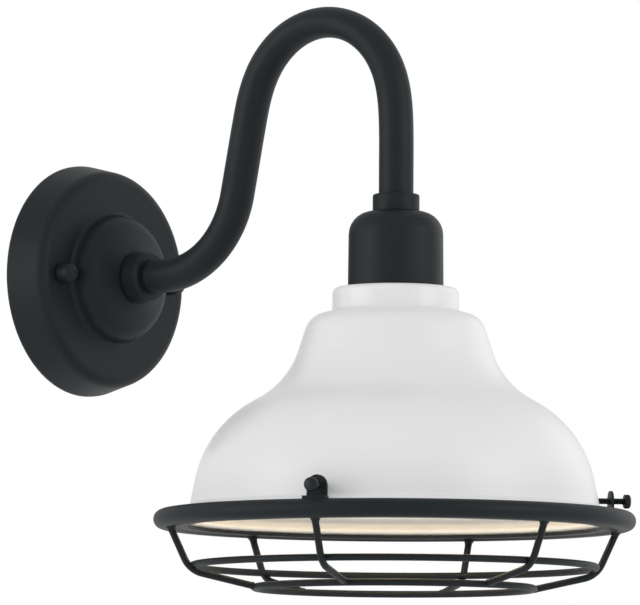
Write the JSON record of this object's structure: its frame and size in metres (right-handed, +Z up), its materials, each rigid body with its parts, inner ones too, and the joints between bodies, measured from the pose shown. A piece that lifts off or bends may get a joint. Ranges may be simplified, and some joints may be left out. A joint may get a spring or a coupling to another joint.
{
  "type": "outdoor gooseneck wall sconce",
  "caption": "Black outdoor wall light with a round stepped backplate, a short gooseneck arm, a white spun metal shade and a black wire guard held by thumb screws",
  "frame": {"origin": "centre of the backplate on the wall plane, midway between the two slots for the wall box's screws", "axes": "+Y points into the wall, the lamp reaches out along -Y, +Z is up and +X is to the right for someone who faces the wall"},
  "size_m": [0.254, 0.347, 0.3141],
  "materials": {
    "black_powder_coat": "finely textured matte black powder coat",
    "black_screw": "smooth satin black",
    "zinc_plate": "dull zinc plate",
    "green_ground": "green plated steel",
    "white_enamel": "gloss white enamel inside and out",
    "holder_porcelain": "unglazed white porcelain",
    "brass_contact": "plain stamped brass",
    "lead_black": "black silicone insulation",
    "lead_white": "white silicone insulation",
    "ring_resin": "moulded black resin",
    "frosted_glass": "frosted glass, lit warm",
    "bulb_shell": "rolled bright aluminium",
    "bulb_insulator": "black insulator",
    "bulb_tip": "soldered contact"
  },
  "bodies": {
    "wall_strap": {"box_strap": "zinc_plate", "strap_rivet": "zinc_plate", "ground_screw": "green_ground"},
    "fixture": {"stud_strap": "zinc_plate", "mount_studs": "zinc_plate", "cap_nuts": "black_powder_coat", "backplate": "black_powder_coat", "arm_nipple": "zinc_plate", "arm_washer": "zinc_plate", "arm_nut": "zinc_plate", "neck_collar": "black_powder_coat", "gooseneck": "black_powder_coat", "end_collar": "black_powder_coat", "socket_cup": "black_powder_coat", "head_nipple": "zinc_plate", "head_nuts": "zinc_plate", "holder_bridge": "zinc_plate", "bridge_screws": "zinc_plate", "lamp_holder": "holder_porcelain", "screw_shell": "brass_contact", "centre_contact": "brass_contact", "lead_live": "lead_black", "lead_neutral": "lead_white", "shade_ring": "ring_resin", "shade": "white_enamel"},
    "bulb": {"bulb_glass": "frosted_glass", "bulb_base": "bulb_shell", "bulb_insulator": "bulb_insulator", "bulb_contact": "bulb_tip"},
    "guard": {"guard_rim": "black_powder_coat", "guard_tab_1": "black_powder_coat", "guard_tab_2": "black_powder_coat", "guard_tab_3": "black_powder_coat", "guard_mid_ring": "black_powder_coat", "guard_low_ring": "black_powder_coat", "guard_bar_1": "black_powder_coat", "guard_bar_2": "black_powder_coat", "guard_bar_3": "black_powder_coat", "guard_bar_4": "black_powder_coat", "guard_bar_5": "black_powder_coat", "guard_bar_6": "black_powder_coat"},
    "screw_1": {"thumb_screw_1": "black_screw"},
    "screw_2": {"thumb_screw_2": "black_screw"},
    "screw_3": {"thumb_screw_3": "black_screw"}
  },
  "joints": [
    {"name": "level_turn", "type": "hinge", "parent": "wall_strap", "child": "fixture", "pos_m": [0, 0, 0], "axis": [0, 1, 0], "range_deg": [-15, 15]},
    {"name": "guard_turn", "type": "hinge", "parent": "fixture", "child": "guard", "pos_m": [0, -0.22, -0.14], "axis": [0, 0, 1], "continuous": true},
    {"name": "bulb_out", "type": "slide", "parent": "fixture", "child": "bulb", "axis": [0, 0, -1], "range_m": [0, 0.17]},
    {"name": "thumb_screw_1_out", "type": "slide", "parent": "guard", "child": "screw_1", "axis": [-0.9455, -0.3256, 0], "range_m": [0, 0.0073]},
    {"name": "thumb_screw_2_out", "type": "slide", "parent": "guard", "child": "screw_2", "axis": [0.7547, -0.6561, 0], "range_m": [0, 0.0073]},
    {"name": "thumb_screw_3_out", "type": "slide", "parent": "guard", "child": "screw_3", "axis": [0.1908, 0.9816, 0], "range_m": [0, 0.0073]}
  ]
}
